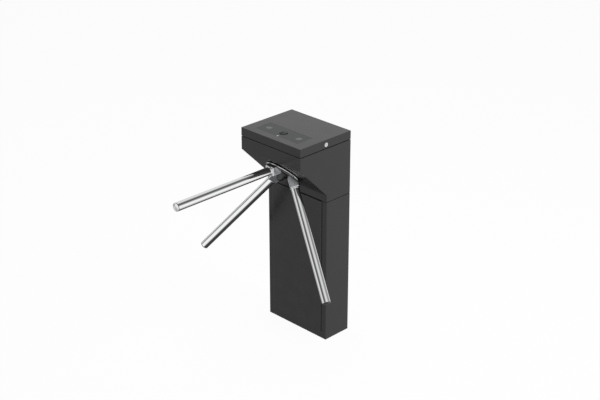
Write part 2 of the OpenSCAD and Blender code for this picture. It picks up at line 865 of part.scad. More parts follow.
module display_window() {
    color("#26282a") difference() {
        translate([-window_w / 2 + window_fit, window_y - window_d / 2 + window_fit, window_z])
            cube([window_w - 2 * window_fit, window_d - 2 * window_fit, window_t]);
        translate([0, 0, window_z - over]) light_cuts(slack / 2, window_t + 2 * over);
    }
}

module status_lights() {
    color("#8fa79a") translate([0, 0, window_z]) light_cuts(0, window_t);
}

module display_carrier() {
    outer = [window_w + 2 * carrier_lap, window_d + 2 * carrier_lap];
    pocket = [window_w - 2 * (carrier_rim - carrier_lap), window_d - 2 * (carrier_rim - carrier_lap)];
    color("#202124") translate([0, window_y, window_z - carrier_h]) difference() {
        translate([-outer[0] / 2, -outer[1] / 2, 0]) cube([outer[0], outer[1], carrier_h]);
        translate([-pocket[0] / 2, -pocket[1] / 2, sheet_t]) cube([pocket[0], pocket[1], carrier_h]);
    }
}

module led_board() {
    size = [window_w - 2 * carrier_rim, window_d - 2 * carrier_rim];
    floor_z = window_z - carrier_h + sheet_t;
    color("#1f5a3a") translate([0, window_y, floor_z]) union() {
        translate([-size[0] / 2, -size[1] / 2, 0]) cube([size[0], size[1], led_board_t]);
        for (side = [-1, 0, 1]) translate([side * light_x, 0, 0])
            cylinder(h = led_board_gap, d = light_d / 2);
    }
}

module lock_barrel() {
    color("#c8cacc") difference() {
        translate([0, y_middle, lock_z]) rotate([0, 90, 0]) union() {
            translate([0, 0, plug_inner]) cylinder(h = lock_body_l, d = lock_body_d);
            translate([0, 0, lock_x]) cylinder(h = lock_head_t, d = lock_head_d);
        }
        translate([plug_inner - over, y_middle, lock_z]) rotate([0, 90, 0])
            cylinder(h = lock_body_l + lock_head_t + 2 * over, d = plug_d + 2 * running);
    }
}

module lock_nut() {
    place = [inner_w / 2 - lock_nut_h, y_middle, lock_z];
    color("#9a9c9e") translate(place) rotate([0, 90, 0]) difference() {
        cylinder(h = lock_nut_h, r = lock_nut_w / 2 / cos(30), $fn = 6);
        translate([0, 0, -over]) cylinder(h = lock_nut_h + 2 * over, d = lock_body_d);
    }
}

module lock_plug() {
    tip = lock_x + lock_head_t;
    color("#b6b8ba") difference() {
        translate([plug_inner, y_middle, lock_z]) rotate([0, 90, 0])
            cylinder(h = tip - plug_inner, d = plug_d);
        box([tip - key_slot[2], y_middle - key_slot[0] / 2, lock_z - key_slot[1] / 2],
            [tip + over, y_middle + key_slot[0] / 2, lock_z + key_slot[1] / 2]);
    }
}

module lock_cam() {
    half = lock_cam_w / 2;
    color("#9a9c9e") translate([plug_inner - lock_cam_t, y_middle, lock_z]) rotate([0, 90, 0])
        linear_extrude(height = lock_cam_t) union() {
            circle(r = half);
            translate([0, -half]) square([lock_cam_l, lock_cam_w]);
        }
}

module lock_keeper() {
    low = y_middle + keeper_away;
    high = low + keeper_w;
    finger_z = lock_z + lock_cam_w / 2 + slack;
    lip_z = head_top - sheet_t;
    color("#8c8e90") union() {
        box([keeper_back, low, lip_z - keeper_t], [inner_w / 2 - slack, high, lip_z]);
        box([keeper_back, low, lip_z - keeper_t], [keeper_back + keeper_t, high, finger_z + keeper_t]);
        box([keeper_back, low, finger_z], [plug_inner, high, finger_z + keeper_t]);
    }
}

// One leaf: its plate lies on the cabinet's side and every other knuckle is its own
module hinge_leaf(up, first) {
    clear = knuckle_d / 2 + slack;
    dir = up ? 1 : -1;
    y0 = y_middle - hinge_len / 2;
    plate_x = -body_w / 2 - leaf_t;
    difference() {
        union() {
            box([plate_x, y0, hinge_z + (up ? clear : -leaf_h)],
                [-body_w / 2, y0 + hinge_len, hinge_z + (up ? leaf_h : -clear)]);
            for (i = [first : 2 : knuckle_n - 1]) translate([0, y0 + i * knuckle_l + slack / 2, 0]) {
                translate([hinge_x, 0, hinge_z]) rotate([-90, 0, 0])
                    cylinder(h = knuckle_l - slack, d = knuckle_d);
                box([plate_x, 0, hinge_z + (up ? 0 : -clear - over)],
                    [-body_w / 2, knuckle_l - slack, hinge_z + (up ? clear + over : 0)]);
            }
        }
        translate([hinge_x, y0 - over, hinge_z]) rotate([-90, 0, 0])
            cylinder(h = hinge_len + 2 * over, d = hinge_pin_d + (up ? 2 * running : 0));
    }
}

module hinge_lower_leaf() {
    color("#3c3d3f") hinge_leaf(false, 0);
}

module hinge_upper_leaf() {
    color("#434446") hinge_leaf(true, 1);
}

module hinge_pin() {
    color("#b4b6b8") translate([hinge_x, y_middle - hinge_len / 2, hinge_z]) rotate([-90, 0, 0])
        cylinder(h = hinge_len, d = hinge_pin_d);
}

module hub_disc() {
    r = disc_d / 2;
    color("#d4d6d8") at_hub() rotate_extrude() polygon([
        [boss_d / 2, disc_gap], [r - disc_bevel, disc_gap], [r, disc_gap + disc_bevel],
        [r, disc_top - disc_bevel], [r - disc_bevel, disc_top], [boss_d / 2, disc_top]]);
}

module hub_core() {
    r = hub_d / 2;
    n = nose_d / 2;
    skirt = [r, disc_top + hub_skirt];
    shoulder = skirt + [-hub_bevel[0], hub_bevel[1]];
    foot = [n + nose_flare[0] + nose_foot[0], shoulder[1] + nose_foot[1]];
    rotate_extrude() polygon([[0, disc_top], [r, disc_top], skirt, shoulder, foot,
        [n + nose_flare[0], foot[1] + nose_flare[1]], [n, hub_h - nose_bevel],
        [n - nose_bevel, hub_h - nose_dome], [0, hub_h]]);
}

// A flat-sided block, drawn in the plane of the hub's axis and its arm
module socket_block() {
    mouth = [socket_end * sin(arm_tilt), socket_end * cos(arm_tilt) - apex_depth];
    aside = block_w / 2 * [cos(arm_tilt), -sin(arm_tilt)];
    inner = mouth - aside;
    rotate([90, 0, 0]) linear_extrude(height = block_t, center = true) polygon([
        [block_root, disc_top],
        [block_root, inner[1] - (inner[0] - block_root) / tan(arm_tilt)],
        inner, mouth + aside, [disc_d / 2 - block_edge, disc_top]]);
}

module sockets() {
    for (angle = arm_angles) {
        rotate([0, 0, angle]) socket_block();
        from_apex(angle) translate([0, 0, socket_end - socket_lip_w / 2])
            cylinder(h = socket_lip_w, d = socket_lip_d);
    }
}

module screw_places() {
    for (angle = arm_angles) from_apex(angle)
        translate([0, 0, screw_at]) rotate([-90, 0, 0]) children();
}

module hub_body() {
    color("#d8dadc") at_hub() difference() {
        union() {
            difference() {
                union() {
                    hub_core();
                    sockets();
                }
                translate([0, 0, disc_top - apex_depth])
                    cube([2 * disc_d, 2 * disc_d, 2 * apex_depth], center = true);
            }
            at_depth(-disc_top - over, plate_back - boss_short, boss_d / 2);
            at_depth(-disc_top - over, front_bearing, shaft_d / 2 + inner_ring_t);
        }
        at_depth(-shaft_in_hub, front_bearing + over, shaft_d / 2);
        for (angle = arm_angles) from_apex(angle)
            translate([0, 0, arm_start]) cylinder(h = socket_end, d = arm_d);
        screw_places() cylinder(h = block_t, d = arm_screw_d);
    }
}

module arm(angle) {
    length = arm_reach - cap_t - arm_start;
    color("#dcdee0") along_arm(angle) translate([0, 0, arm_start]) difference() {
        cylinder(h = length, d = arm_d);
        translate([0, 0, -over]) cylinder(h = length + 2 * over, d = arm_d - 2 * arm_t);
    }
}

module arm_a() {
    arm(arm_angles[0]);
}

module arm_b() {
    arm(arm_angles[1]);
}

module arm_c() {
    arm(arm_angles[2]);
}

module arm_caps() {
    r = arm_d / 2;
    inner = r - arm_t;
    color("#d0d2d4") for (angle = arm_angles) along_arm(angle) translate([0, 0, arm_reach - cap_t])
        rotate_extrude() polygon([[0, -cap_plug_l], [inner, -cap_plug_l], [inner, 0], [r, 0],
            [r, cap_t - cap_bevel], [r - cap_bevel, cap_t], [0, cap_t]]);
}

module arm_screws() {
    color("#8a8c8e") at_hub() screw_places() translate([0, 0, arm_d / 2])
        cylinder(h = (block_t - arm_d) / 2 - screw_sunk, d = arm_screw_d);
}

module main_shaft() {
    color("#b4b6b8") at_hub() at_depth(-shaft_in_hub, shaft_end, shaft_d / 2);
}

module bearing_inner_rings() {
    color("#c8cacc") at_hub() for (near = [front_bearing, rear_bearing])
        ring_at_depth(near, near + bearing_w, shaft_d / 2 + inner_ring_t, shaft_d / 2);
}

// Three round hollows, between the places where the roller meets the lobes
module cam_outline() {
    difference() {
        circle(r = cam_r);
        for (angle = arm_angles) rotate(angle - 30) translate([2 * cam_r - cam_dip, 0]) circle(r = cam_r);
    }
}

module index_cam() {
    color("#8c8e90") at_hub() difference() {
        union() {
            translate([0, 0, -cam_face - cam_t]) linear_extrude(height = cam_t) cam_outline();
            at_depth(cam_face - ring_gap, cam_face, shaft_d / 2 + inner_ring_t - slack);
        }
        at_depth(cam_face - ring_gap - over, cam_face + cam_t + over, shaft_d / 2);
    }
}

module locking_wheel() {
    root = wheel_r - tooth_h;
    color("#8c8e90") at_hub() difference() {
        union() {
            translate([0, 0, -wheel_face - wheel_t]) linear_extrude(height = wheel_t) difference() {
                circle(r = wheel_r);
                for (i = [0 : tooth_n - 1]) rotate(i * 360 / tooth_n)
                    polygon([[root, -notch_foot / 2], [wheel_r + over, -notch_mouth / 2],
                        [wheel_r + over, notch_mouth / 2], [root, notch_foot / 2]]);
            }
            at_depth(cam_face + cam_t, wheel_face + wheel_t, wheel_boss_r);
        }
        at_depth(cam_face, wheel_face + wheel_t + over, shaft_d / 2);
    }
}

module encoder_disc() {
    color("#3a3c40") at_hub() difference() {
        union() {
            at_depth(encoder_face, encoder_face + encoder_t, encoder_r);
            at_depth(wheel_face + wheel_t, encoder_end, wheel_boss_r);
        }
        at_depth(wheel_face, encoder_end + over, shaft_d / 2);
        for (i = [0 : slot_n - 1]) rotate([0, 0, i * 360 / slot_n])
            box_at_depth(encoder_face - over, encoder_face + encoder_t + over,
                [encoder_r - 2 * slot_size[0], -slot_size[1] / 2],
                [encoder_r - slot_size[0], slot_size[1] / 2]);
    }
}

module shaft_nut() {
    color("#9a9c9e") at_hub() difference() {
        hex_at_depth(encoder_end, encoder_end + shaft_nut_h, shaft_nut_w);
        at_depth(encoder_end - over, shaft_end + over, shaft_d / 2);
    }
}

// A flat bar with straight sides between two points of the slope's plane
module bar_between(p, q, w) {
    v = q - p;
    translate(p) rotate(atan2(v[1], v[0])) translate([0, -w / 2]) square([norm(v), w]);
}

module detent_lever() {
    color("#7d7f82") at_hub() difference() {
        union() {
            translate([0, 0, -lever_face - lever_t]) linear_extrude(height = lever_t) union() {
                translate(lever_pivot) circle(r = lever_hub_r);
                translate(roller_at) circle(r = lever_tip_r);
                bar_between(lever_pivot, roller_at, 2 * lever_tip_r);
            }
            at_depth(lever_face, cam_face + roller_t + lever_gap, roller_pin_r, roller_at);
        }
        at_depth(lever_face - over, lever_face + lever_t + over, lever_pin_r + running, lever_pivot);
    }
}

module detent_roller() {
    color("#c8cacc") at_hub()
        ring_at_depth(cam_face, cam_face + roller_t, roller_r, roller_pin_r + running, roller_at);
}

// The right-hand pawl, drawn locked and turned back to its free place
module pawl() {
    half = pawl_nose_w / 2;
    tail = pawl_pivot + pawl_tail_l * [sin(pawl_swing / 2), cos(pawl_swing / 2)];
    slot_v = link_slot * [sin(pawl_swing / 2), cos(pawl_swing / 2)];
    nose_root = pawl_pivot[0] - pawl_hub_r;
    difference() {
        translate(pawl_pivot) rotate(pawl_swing) translate(-pawl_pivot) union() {
            translate(pawl_pivot) circle(r = pawl_hub_r);
            polygon([[pawl_tip, -half], [nose_root, -half],
                [pawl_pivot[0] + pawl_hub_r / 2, pawl_pivot[1] - pawl_hub_r / 2],
                [pawl_pivot[0], pawl_pivot[1] + pawl_hub_r / 2],
                [wheel_r + tooth_h, 2 * half], [wheel_r + pawl_relief, half], [pawl_tip, half]]);
            bar_between(pawl_pivot, tail, pawl_arm_w);
            translate(tail) circle(r = pawl_tail_r);
        }
        translate(pawl_pivot) rotate(pawl_swing) translate(-pawl_pivot) union() {
            bar_between(tail - slot_v, tail + slot_v, 2 * (link_pin_r + slack));
            translate(tail - slot_v) circle(r = link_pin_r + slack);
            translate(tail + slot_v) circle(r = link_pin_r + slack);
        }
        translate(pawl_pivot) circle(r = pawl_pin_r + running);
    }
}

module entry_pawl() {
    color("#7d7f82") at_hub() translate([0, 0, -wheel_face - wheel_t])
        linear_extrude(height = wheel_t) pawl();
}

module exit_pawl() {
    color("#7d7f82") at_hub() mirror([1, 0, 0]) translate([0, 0, -wheel_face - wheel_t])
        linear_extrude(height = wheel_t) pawl();
}

// The right-hand plunger with its fork and cross pin
module plunger() {
    near = wheel_face - slack - fork_t;
    far = wheel_face + wheel_t + slack + fork_t;
    web_x = link_x + fork_l - fork_web;
    low = [link_x - fork_half, link_y - fork_half];
    high = [link_x + fork_l, link_y + fork_half];
    union() {
        box_at_depth(near, near + fork_t, low, high);
        box_at_depth(far - fork_t, far, low, high);
        box_at_depth(near, far, [web_x, low[1]], high);
        at_depth(near, far, link_pin_r, [link_x, link_y]);
        translate([web_x + fork_web / 2, link_y, -plunger_axis]) rotate([0, 90, 0])
            cylinder(h = plunger_end - web_x - fork_web / 2, d = plunger_d);
    }
}

module entry_plunger() {
    color("#c8cacc") at_hub() plunger();
}

module exit_plunger() {
    color("#c8cacc") at_hub() mirror([1, 0, 0]) plunger();
}

base_plate();
frame_uprights();
neck_plate();
column_shell();
service_panel();
panel_seal();
panel_fasteners();
head_shell();
neck_fasteners();
lid_gasket();
mechanism_plate();
plate_fasteners();
bearing_housing();
mechanism_bolts();
bearing_outer_rings();
spacer_pillars();
rear_plate();
pivot_posts();
return_springs();
entry_solenoid();
exit_solenoid();
rotation_sensor();
control_board();
board_pillars();
equipment_plate();
power_supply();
battery();
cable_harness();
lock_keeper();
hinge_lower_leaf();
hinge_pin();
lid_shell();
display_window();
display_carrier();
led_board();
status_lights();
hinge_upper_leaf();
lock_barrel();
lock_nut();
lock_plug();
lock_cam();
hub_disc();
hub_body();
arm_a();
arm_b();
arm_c();
arm_caps();
arm_screws();
main_shaft();
bearing_inner_rings();
index_cam();
locking_wheel();
encoder_disc();
shaft_nut();
detent_lever();
detent_roller();
entry_pawl();
exit_pawl();
entry_plunger();
exit_plunger();
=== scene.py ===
import json
import math

import bmesh
import bpy
from mathutils import Matrix, Vector


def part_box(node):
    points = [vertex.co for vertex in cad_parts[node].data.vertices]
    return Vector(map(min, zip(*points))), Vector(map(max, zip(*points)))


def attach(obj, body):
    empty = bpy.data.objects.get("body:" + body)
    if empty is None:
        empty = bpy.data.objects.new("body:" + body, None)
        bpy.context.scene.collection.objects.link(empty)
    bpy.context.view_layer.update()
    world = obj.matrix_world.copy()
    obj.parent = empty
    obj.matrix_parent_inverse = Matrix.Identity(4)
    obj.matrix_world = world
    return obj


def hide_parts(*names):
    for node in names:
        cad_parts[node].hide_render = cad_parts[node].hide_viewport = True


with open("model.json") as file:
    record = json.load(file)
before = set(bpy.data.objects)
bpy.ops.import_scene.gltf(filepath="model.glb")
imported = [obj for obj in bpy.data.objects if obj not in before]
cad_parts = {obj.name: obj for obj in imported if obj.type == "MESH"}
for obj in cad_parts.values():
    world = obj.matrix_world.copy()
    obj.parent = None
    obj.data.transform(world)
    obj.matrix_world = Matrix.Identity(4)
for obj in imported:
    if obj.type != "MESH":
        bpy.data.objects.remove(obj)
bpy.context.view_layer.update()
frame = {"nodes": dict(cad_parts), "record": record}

# Sizes are in millimetres and are turned to metres by MM. Angles are in degrees
MM = 0.001
HALF_ROOT = math.sqrt(0.5)

# The slope that carries the hub: u to the right, v up the slope, and outwards away from it
HUB_Y, HUB_Z = -160.328, 817.828
SLOPE = Matrix(((1, 0, 0, 0), (0, -HALF_ROOT, -HALF_ROOT, HUB_Y * MM),
                (0, HALF_ROOT, -HALF_ROOT, HUB_Z * MM), (0, 0, 0, 1)))

# The arms: each one's turn round the hub, their tilt from the hub's axis, and how far behind the
# slope their axes meet. Places along an arm are measured from that point
ARM_ANGLES = {"arm_a": 90, "arm_b": 210, "arm_c": 330}
ARM_TILT = 45
APEX_DEPTH = 42.8
ARM_R = 19
BORE_R = 17.5
ARM_START = 95
ARM_TUBE_END = 646.4
ARM_END = 652

# The caps: the plug's radius, the seal ring's radius, and where a cap sits on its ring
PLUG_R = 17.4
RING_R = 18.8
CAP_SEAT = 649.4

# The hub's socket blocks: their thickness and rounding, and their outline as distance from the
# hub's axis and height above the slope
BLOCK_T = 50
BLOCK_EDGE = 3.5
BLOCK_OUTLINE = ((34, 6), (34, 20.9), (68.6, 55.4), (98.3, 25.7), (84, 6))

# The service panel: how far its rim reaches back, and how wide its front edges are rolled
PANEL_DEPTH = 4.9
PANEL_ROLL = 4.2

# The lid's window: its middle, where the round lenses, the dark field and the pip lie from there,
# and the lenses' underside
WINDOW_Y = -156
ROUND_LENS_X = 93
FIELD_FORWARD = 2
PIP_FORWARD = 38.5
LENS_LOW = 998.1

# Edges that turn by more than this are rounded
SHARP = 30


# ---------------------------------------------------------------- materials

def colour(code):
    """Turns an sRGB hex code to linear red, green, blue and alpha."""
    parts = [int(code[i:i + 2], 16) / 255 for i in (1, 3, 5)]
    return tuple(p / 12.92 if p <= 0.04045 else ((p + 0.055) / 1.055) ** 2.4
                 for p in parts) + (1,)


def add(tree, kind, values=(), links=(), **fields):
    """Adds one node with its fields, socket values and incoming links."""
    made = tree.nodes.new(kind)
    for name, value in fields.items():
        setattr(made, name, value)
    for name, value in dict(values).items():
        made.inputs[name].default_value = value
    for name, output in dict(links).items():
        tree.links.new(output, made.inputs[name])
    return made


def per_metre(size_mm):
    """Texture scale whose features are about this many millimetres wide."""
    return 1 / (size_mm * MM)


def finish(name, base, roughness, metallic=0, ior=1.5, stretch=(1, 1, 1), other=None,
           blotch_mm=40, rough_span=0.05, grain_mm=0, grain_depth=0, pits=False):
    """A real finish: blotches of a second tone, uneven gloss, and a grain with its own depth."""
    made = bpy.data.materials.new(name)
    made.use_nodes = True
    tree = made.node_tree
    shader = tree.nodes["Principled BSDF"]
    shader.inputs["Metallic"].default_value = metallic
    if not metallic:
        shader.inputs["IOR"].default_value = ior
    place = add(tree, "ShaderNodeTexCoord")
    mapped = add(tree, "ShaderNodeMapping", {"Scale": stretch}, {"Vector": place.outputs["Object"]})
    blotch = add(tree, "ShaderNodeTexNoise", {"Scale": per_metre(blotch_mm), "Detail": 4},
                 {"Vector": mapped.outputs["Vector"]})
    tones = add(tree, "ShaderNodeMix", {6: colour(base), 7: colour(other or base)},
                {0: blotch.outputs["Fac"]}, data_type="RGBA")
    tree.links.new(tones.outputs[2], shader.inputs["Base Color"])
    gloss = add(tree, "ShaderNodeMapRange",
                {"From Min": 0.3, "From Max": 0.7, "To Min": roughness - rough_span,
                 "To Max": roughness + rough_span}, {"Value": blotch.outputs["Fac"]})
    tree.links.new(gloss.outputs["Result"], shader.inputs["Roughness"])
    if grain_mm:
        kind = "ShaderNodeTexVoronoi" if pits else "ShaderNodeTexNoise"
        grain = add(tree, kind, {"Scale": per_metre(grain_mm)},
                    {"Vector": mapped.outputs["Vector"]})
        height = grain.outputs["Distance"] if pits else grain.outputs["Fac"]
        bump = add(tree, "ShaderNodeBump", {"Strength": 1, "Distance": grain_depth * MM},
                   {"Height": height})
        tree.links.new(bump.outputs["Normal"], shader.inputs["Normal"])
    return made


FINISHES = {
    # Polyester powder coat: satin, with a fine orange peel (drawn at 3 mm so that it shows)
    "cabinet_paint": finish("cabinet_powder_coat", "#2b2b2b", 0.25, other="#2f2f2f", blotch_mm=70,
                            grain_mm=3, grain_depth=0.05),
    # Black textured powder coat on the frame: matt and rougher to the eye
    "frame_paint": finish("frame_powder_coat", "#2b2c2e", 0.6, other="#333436", blotch_mm=30,
                          grain_mm=2, grain_depth=0.12),
    # Bright zinc plate: bluish grey metal with cloudy gloss
    "zinc_plate": finish("zinc_plated_steel", "#b3b7bb", 0.34, metallic=1, other="#c3c3bb",
                         blotch_mm=14, rough_span=0.1, grain_mm=1.2, grain_depth=0.01),
    # Turned and milled steel: clean metal with fine lines from the tool
    "machined_steel": finish("machined_steel", "#a9abad", 0.26, metallic=1, other="#b7b8b9",
                             stretch=(1, 12, 1), blotch_mm=20, grain_mm=1, grain_depth=0.01),
    # Ground bearing steel: close to a mirror
    "bearing_steel": finish("ground_bearing_steel", "#c4c6c8", 0.14, metallic=1, other="#cfd0d2",
                            blotch_mm=10, rough_span=0.03),
    # Sand cast aluminium: dull and grainy
    "cast_housing": finish("sand_cast_aluminium", "#8f9194", 0.55, metallic=1, other="#9d9fa1",
                           blotch_mm=12, grain_mm=1.6, grain_depth=0.15),
    # Chrome plate on polished tube: a mirror with a faint haze and wave
    "tripod_chrome": finish("polished_chrome_plate", "#f1f2f3", 0.06, metallic=1, other="#f6f6f6",
                            blotch_mm=45, rough_span=0.02, grain_mm=38, grain_depth=0.02),
    # Chrome on the small lock parts: bright, with light scratches round the key
    "lock_chrome": finish("chrome_lock_plate", "#dcdddf", 0.12, metallic=1, other="#e4e4e4",
                          blotch_mm=4, rough_span=0.05),
    # Smoked acrylic sheet: dark, very smooth, mirrors the sky
    "window_acrylic": finish("smoked_acrylic", "#0e1111", 0.16, ior=1.43, other="#141818",
                             blotch_mm=90, rough_span=0.03),
    # Frosted polycarbonate lenses, unlit
    "light_lens": finish("frosted_lens", "#454747", 0.3, ior=1.58, other="#505252", blotch_mm=8),
    # Moulded ABS: soft black with a fine spark-eroded grain
    "black_plastic": finish("moulded_black_abs", "#1d1e20", 0.5, ior=1.53, other="#242527",
                            blotch_mm=25, grain_mm=1, grain_depth=0.04),
    # Glass fibre board under green solder mask
    "circuit_board": finish("green_solder_mask", "#17492c", 0.28, ior=1.52, other="#1d5a36",
                            blotch_mm=9),
    # Solenoid frame in yellow passivated steel
    "solenoid_yoke": finish("passivated_steel_yoke", "#b5ab84", 0.36, metallic=1, other="#b9a4a0",
                            blotch_mm=9, rough_span=0.08),
    # EPDM foam: black with open pores
    "foam_rubber": finish("black_foam_rubber", "#151515", 0.85, other="#1e1e1e", blotch_mm=6,
                          grain_mm=1.5, grain_depth=0.3, pits=True),
    # PVC cable jackets
    "cable_jacket": finish("cable_pvc", "#151617", 0.45, ior=1.53, other="#1d1e1f", blotch_mm=20),
    # Natural nylon pillars
    "pillar_plastic": finish("natural_nylon", "#d5d2c6", 0.45, ior=1.53, other="#dedbd0",
                             blotch_mm=8),
    # Battery case in dark grey ABS
    "battery_case": finish("battery_abs", "#2c2f33", 0.48, ior=1.53, other="#33363a", blotch_mm=30,
                           grain_mm=1, grain_depth=0.05),
}


# Screw terminals: green polyamide, faintly glossy
TERMINAL_GREEN = finish("green_polyamide", "#2f7a52", 0.4, ior=1.53, other="#358259", blotch_mm=6)
# Relay covers: moulded blue polycarbonate
RELAY_BLUE = finish("blue_polycarbonate", "#22508c", 0.3, ior=1.58, other="#285a99", blotch_mm=10)
# Enamelled copper wire: warm and shiny
COPPER_WIRE = finish("enamelled_copper", "#b4622f", 0.25, metallic=1, other="#a3552a", blotch_mm=3)
# Capacitor cans: dark shrink sleeve
CAN_SLEEVE = finish("capacitor_sleeve", "#23272e", 0.35, ior=1.53, other="#2b2f36", blotch_mm=5)
# Solenoid coils: amber insulating tape over the winding
COIL_TAPE = finish("amber_coil_tape", "#8a5a1e", 0.3, ior=1.55, other="#7a4d18", blotch_mm=5,
                   grain_mm=1.2, grain_depth=0.1)
# The hub's casting: the same plate as on the arms, over a satin, blasted surface
SATIN_CHROME = finish("satin_chrome_casting", "#c6c8ca", 0.22, metallic=1, other="#d0d1d3",
                      blotch_mm=30, rough_span=0.04, grain_mm=2.5, grain_depth=0.02)
# The hub's nose: a dark grey metal, without the plate's shine
DARK_CASTING = finish("dark_nose_metal", "#4a4b4c", 0.45, metallic=1, other="#545556",
                      blotch_mm=14, rough_span=0.05, grain_mm=2, grain_depth=0.05)
# Green glass of the arrow, unlit
ARROW_GLASS = finish("green_arrow_glass", "#1e2521", 0.3, ior=1.22, other="#252d28", blotch_mm=6)
# Matt black print round the arrow, which swallows the light
FIELD_PRINT = finish("matt_black_print", "#0d100f", 0.6, ior=1.24, other="#121514", blotch_mm=5)
# Near-white pip, opaque and unlit
PIP_GLASS = finish("white_pip_glass", "#f2f2f0", 0.2, ior=1.52, other="#fafafa", blotch_mm=3)


def painted_shade_foot(made, dark, low, high):
    """Painted shade: darkens a hub finish below a height above the slope, round the blocks' foot by
    the disc.
    """
    tree = made.node_tree
    shader = tree.nodes["Principled BSDF"]
    tones = shader.inputs["Base Color"].links[0].from_socket
    outwards = SLOPE.to_3x3().col[2]
    level = SLOPE.translation.dot(outwards)
    place = add(tree, "ShaderNodeTexCoord")
    above = add(tree, "ShaderNodeVectorMath", {1: tuple(outwards)}, {0: place.outputs["Object"]},
                operation="DOT_PRODUCT")
    share = add(tree, "ShaderNodeMapRange",
                {"From Min": level + low * MM, "From Max": level + high * MM},
                {"Value": above.outputs["Value"]})
    mixed = add(tree, "ShaderNodeMix", {6: colour(dark)}, {0: share.outputs["Result"], 7: tones},
                data_type="RGBA")
    tree.links.new(mixed.outputs[2], shader.inputs["Base Color"])


# Painted shade on the hub's casting: full dark up to 9 mm above the slope, gone above 19 mm
painted_shade_foot(SATIN_CHROME, "#4a4b4c", 9, 19)


# ---------------------------------------------------------------- making pieces

def finished(name, form, slot, body, replaced=(), bevel=0, bevel_segments=3, weights=False,
             surface=None):
    """Turns a form into a piece: rounding, finish, slot, body, and the CAD nodes it stands for."""
    mesh = bpy.data.meshes.new(name)
    form.to_mesh(mesh)
    form.free()
    piece = bpy.data.objects.new(name, mesh)
    bpy.context.scene.collection.objects.link(piece)
    for face in mesh.polygons:
        face.use_smooth = True
    if bevel:
        rounding = piece.modifiers.new("edge rounding", "BEVEL")
        rounding.width = bevel * MM
        rounding.segments = bevel_segments
        rounding.limit_method = "WEIGHT" if weights else "ANGLE"
        rounding.angle_limit = math.radians(SHARP)
        rounding.use_clamp_overlap = not weights
        rounding.harden_normals = True
        flats = piece.modifiers.new("flats stay flat", "WEIGHTED_NORMAL")
        flats.mode = "FACE_AREA"
        flats.weight = 100
    mesh.materials.append(surface or FINISHES[slot])
    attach(piece, body)
    if replaced:
        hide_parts(*replaced)
    return piece


def node_copy(node_name):
    """The CAD node's mesh with its doubles merged and its flat faces joined."""
    form = bmesh.new()
    form.from_mesh(frame["nodes"][node_name].data)
    bmesh.ops.remove_doubles(form, verts=form.verts, dist=0.002 * MM)
    bmesh.ops.dissolve_limit(form, angle_limit=math.radians(0.5), verts=form.verts,
                             edges=form.edges)
    return form


def folded_sheet(node_name, body, rims, bend=2.2, edge=0.45):
    """A sheet-metal node: its outer folds are rounded to the bend's radius, its cut edges eased.

    A face that looks along one of the directions in rims is a cut edge, so no fold borders on it.
    """
    form = node_copy(node_name)
    weight = form.edges.layers.float.new("bevel_weight_edge")
    outer = {}
    for face in form.faces:
        reach = max(face.normal.dot(v.co) for v in form.verts)
        outermost = reach - face.normal.dot(face.verts[0].co) < 0.05 * MM
        outer[face] = outermost and not any(face.normal.dot(Vector(rim)) > 0.9 for rim in rims)
    for line in form.edges:
        if len(line.link_faces) == 2 and line.calc_face_angle() > math.radians(SHARP):
            line[weight] = 1 if all(outer[f] for f in line.link_faces) else edge / bend
    slot = slot_of[node_name]
    return finished(node_name + "_folded", form, slot, body, (node_name,), bevel=bend,
                    weights=True)


def elements_of(form):
    """All the vertices, edges and faces that a form has by now."""
    return {*form.verts, *form.edges, *form.faces}


def added(elements, before):
    """Those of a form's elements that weren't there before."""
    return [element for element in elements if element not in before]


def turned(form, profile, place, segments=96):
    """Spins a closed profile of (radius, height) points round the place's own Z axis."""
    before = elements_of(form)
    points = [form.verts.new((r * MM, 0, z * MM)) for r, z in profile]
    lines = [form.edges.new((points[i], points[(i + 1) % len(points)]))
             for i in range(len(points))]
    bmesh.ops.spin(form, geom=points + lines, cent=(0, 0, 0), axis=(0, 0, 1), angle=math.tau,
                   steps=segments, use_merge=True, use_duplicate=False)
    bmesh.ops.remove_doubles(form, verts=added(form.verts, before), dist=0.001 * MM)
    bmesh.ops.transform(form, matrix=place, verts=added(form.verts, before))
    bmesh.ops.recalc_face_normals(form, faces=added(form.faces, before))


def rectangle(left, low, right, high):
    """The corners of an upright rectangle, anticlockwise."""
    return (left, low), (right, low), (right, high), (left, high)


def points_of(geometry):
    """The vertices among mixed mesh elements."""
    return [v for v in geometry if isinstance(v, bmesh.types.BMVert)]


def plate(form, outline, place, low, high, edge=0, segments=3):
    """Extrudes an outline along the place's Z axis and rounds all its edges."""
    before = elements_of(form)
    base = form.faces.new([form.verts.new(place @ Vector((x * MM, y * MM, low * MM)))
                           for x, y in outline])
    rise = place.to_3x3() @ Vector((0, 0, (high - low) * MM))
    top = points_of(bmesh.ops.extrude_face_region(form, geom=[base])["geom"])
    bmesh.ops.translate(form, vec=rise, verts=top)
    bmesh.ops.recalc_face_normals(form, faces=added(form.faces, before))
    if edge:
        bmesh.ops.bevel(form, geom=added(form.edges, before), offset=edge * MM,
                        offset_type="OFFSET", segments=segments, profile=0.5, affect="EDGES",
                        clamp_overlap=True, material=-1)


def turn(angle, axis):
    """A rotation by an angle in degrees."""
    return Matrix.Rotation(math.radians(angle), 4, axis)


def shift(x, y, z):
    """A move by millimetres."""
    return Matrix.Translation((x * MM, y * MM, z * MM))


def arm_place(arm):
    """The arm's own frame: its Z axis runs along the arm from the point behind the slope."""
    return SLOPE @ shift(0, 0, -APEX_DEPTH) @ turn(ARM_ANGLES[arm], "Z") @ turn(ARM_TILT, "Y")


slot_of = {part["node"]: part["material_slot"] for part in frame["record"]["subparts"]}
body_of = {name: body for body, names in frame["record"]["behaviour"]["bodies"].items()
           for name in names}
for node_name, node_object in frame["nodes"].items():
    node_object.data.materials.clear()
    node_object.data.materials.append(FINISHES[slot_of[node_name]])


# ---------------------------------------------------------------- cabinet

